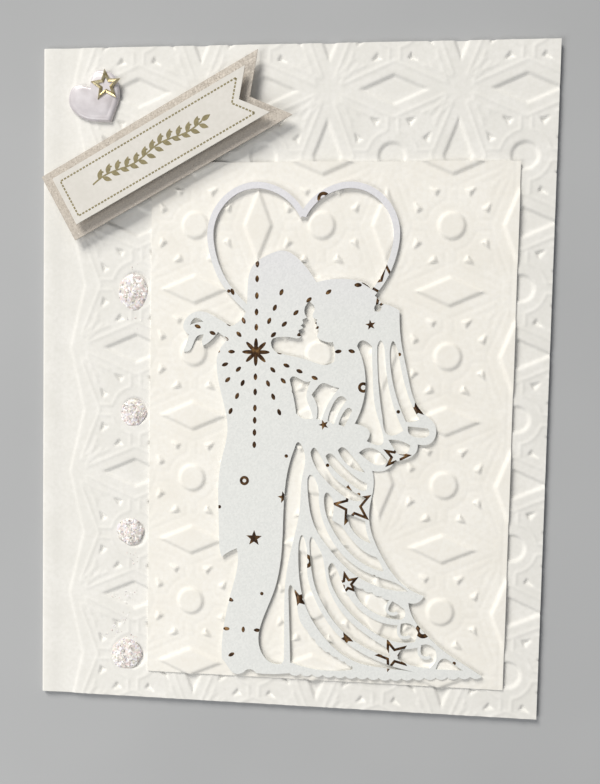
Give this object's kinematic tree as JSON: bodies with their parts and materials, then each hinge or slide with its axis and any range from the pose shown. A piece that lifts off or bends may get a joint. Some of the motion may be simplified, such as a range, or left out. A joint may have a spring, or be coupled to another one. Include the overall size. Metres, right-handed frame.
{
  "type": "greeting card",
  "caption": "Closed folded greeting card with embossed sheets, a die-cut couple in a heart ring, a raised swallowtail banner, a small heart with a star, and glitter dabs.",
  "frame": {"origin": "centre of the card's back face, on the surface it lies on", "axes": "+X across the card away from the fold, +Y up the card's height, +Z out of its front face"},
  "size_m": [0.108, 0.1396, 0.0052],
  "materials": {
    "card_stock": "matte",
    "panel_stock": "matte",
    "pearl_paper": "satin",
    "glitter_card": "satin",
    "label_card": "matte",
    "foam": "matte",
    "tape": "matte",
    "pearl_charm": "satin",
    "gold_metal": "polished",
    "glitter_glue": "gloss"
  },
  "bodies": {
    "root": {"card_base": "card_stock", "embossed_panel": "panel_stock", "couple_die_cut": "pearl_paper", "banner_backing": "glitter_card", "banner_label": "label_card", "heart_charm": "pearl_charm", "gold_star": "gold_metal", "banner_foam_1": "foam", "label_foam_1": "foam", "banner_foam_2": "foam", "label_foam_2": "foam", "banner_foam_3": "foam", "label_foam_3": "foam", "glitter_dot_1": "glitter_glue", "glitter_dot_2": "glitter_glue", "glitter_dot_3": "glitter_glue", "glitter_dot_4": "glitter_glue", "panel_tape_top": "tape", "panel_tape_bottom": "tape", "panel_tape_left": "tape", "panel_tape_right": "tape"}
  },
  "joints": []
}
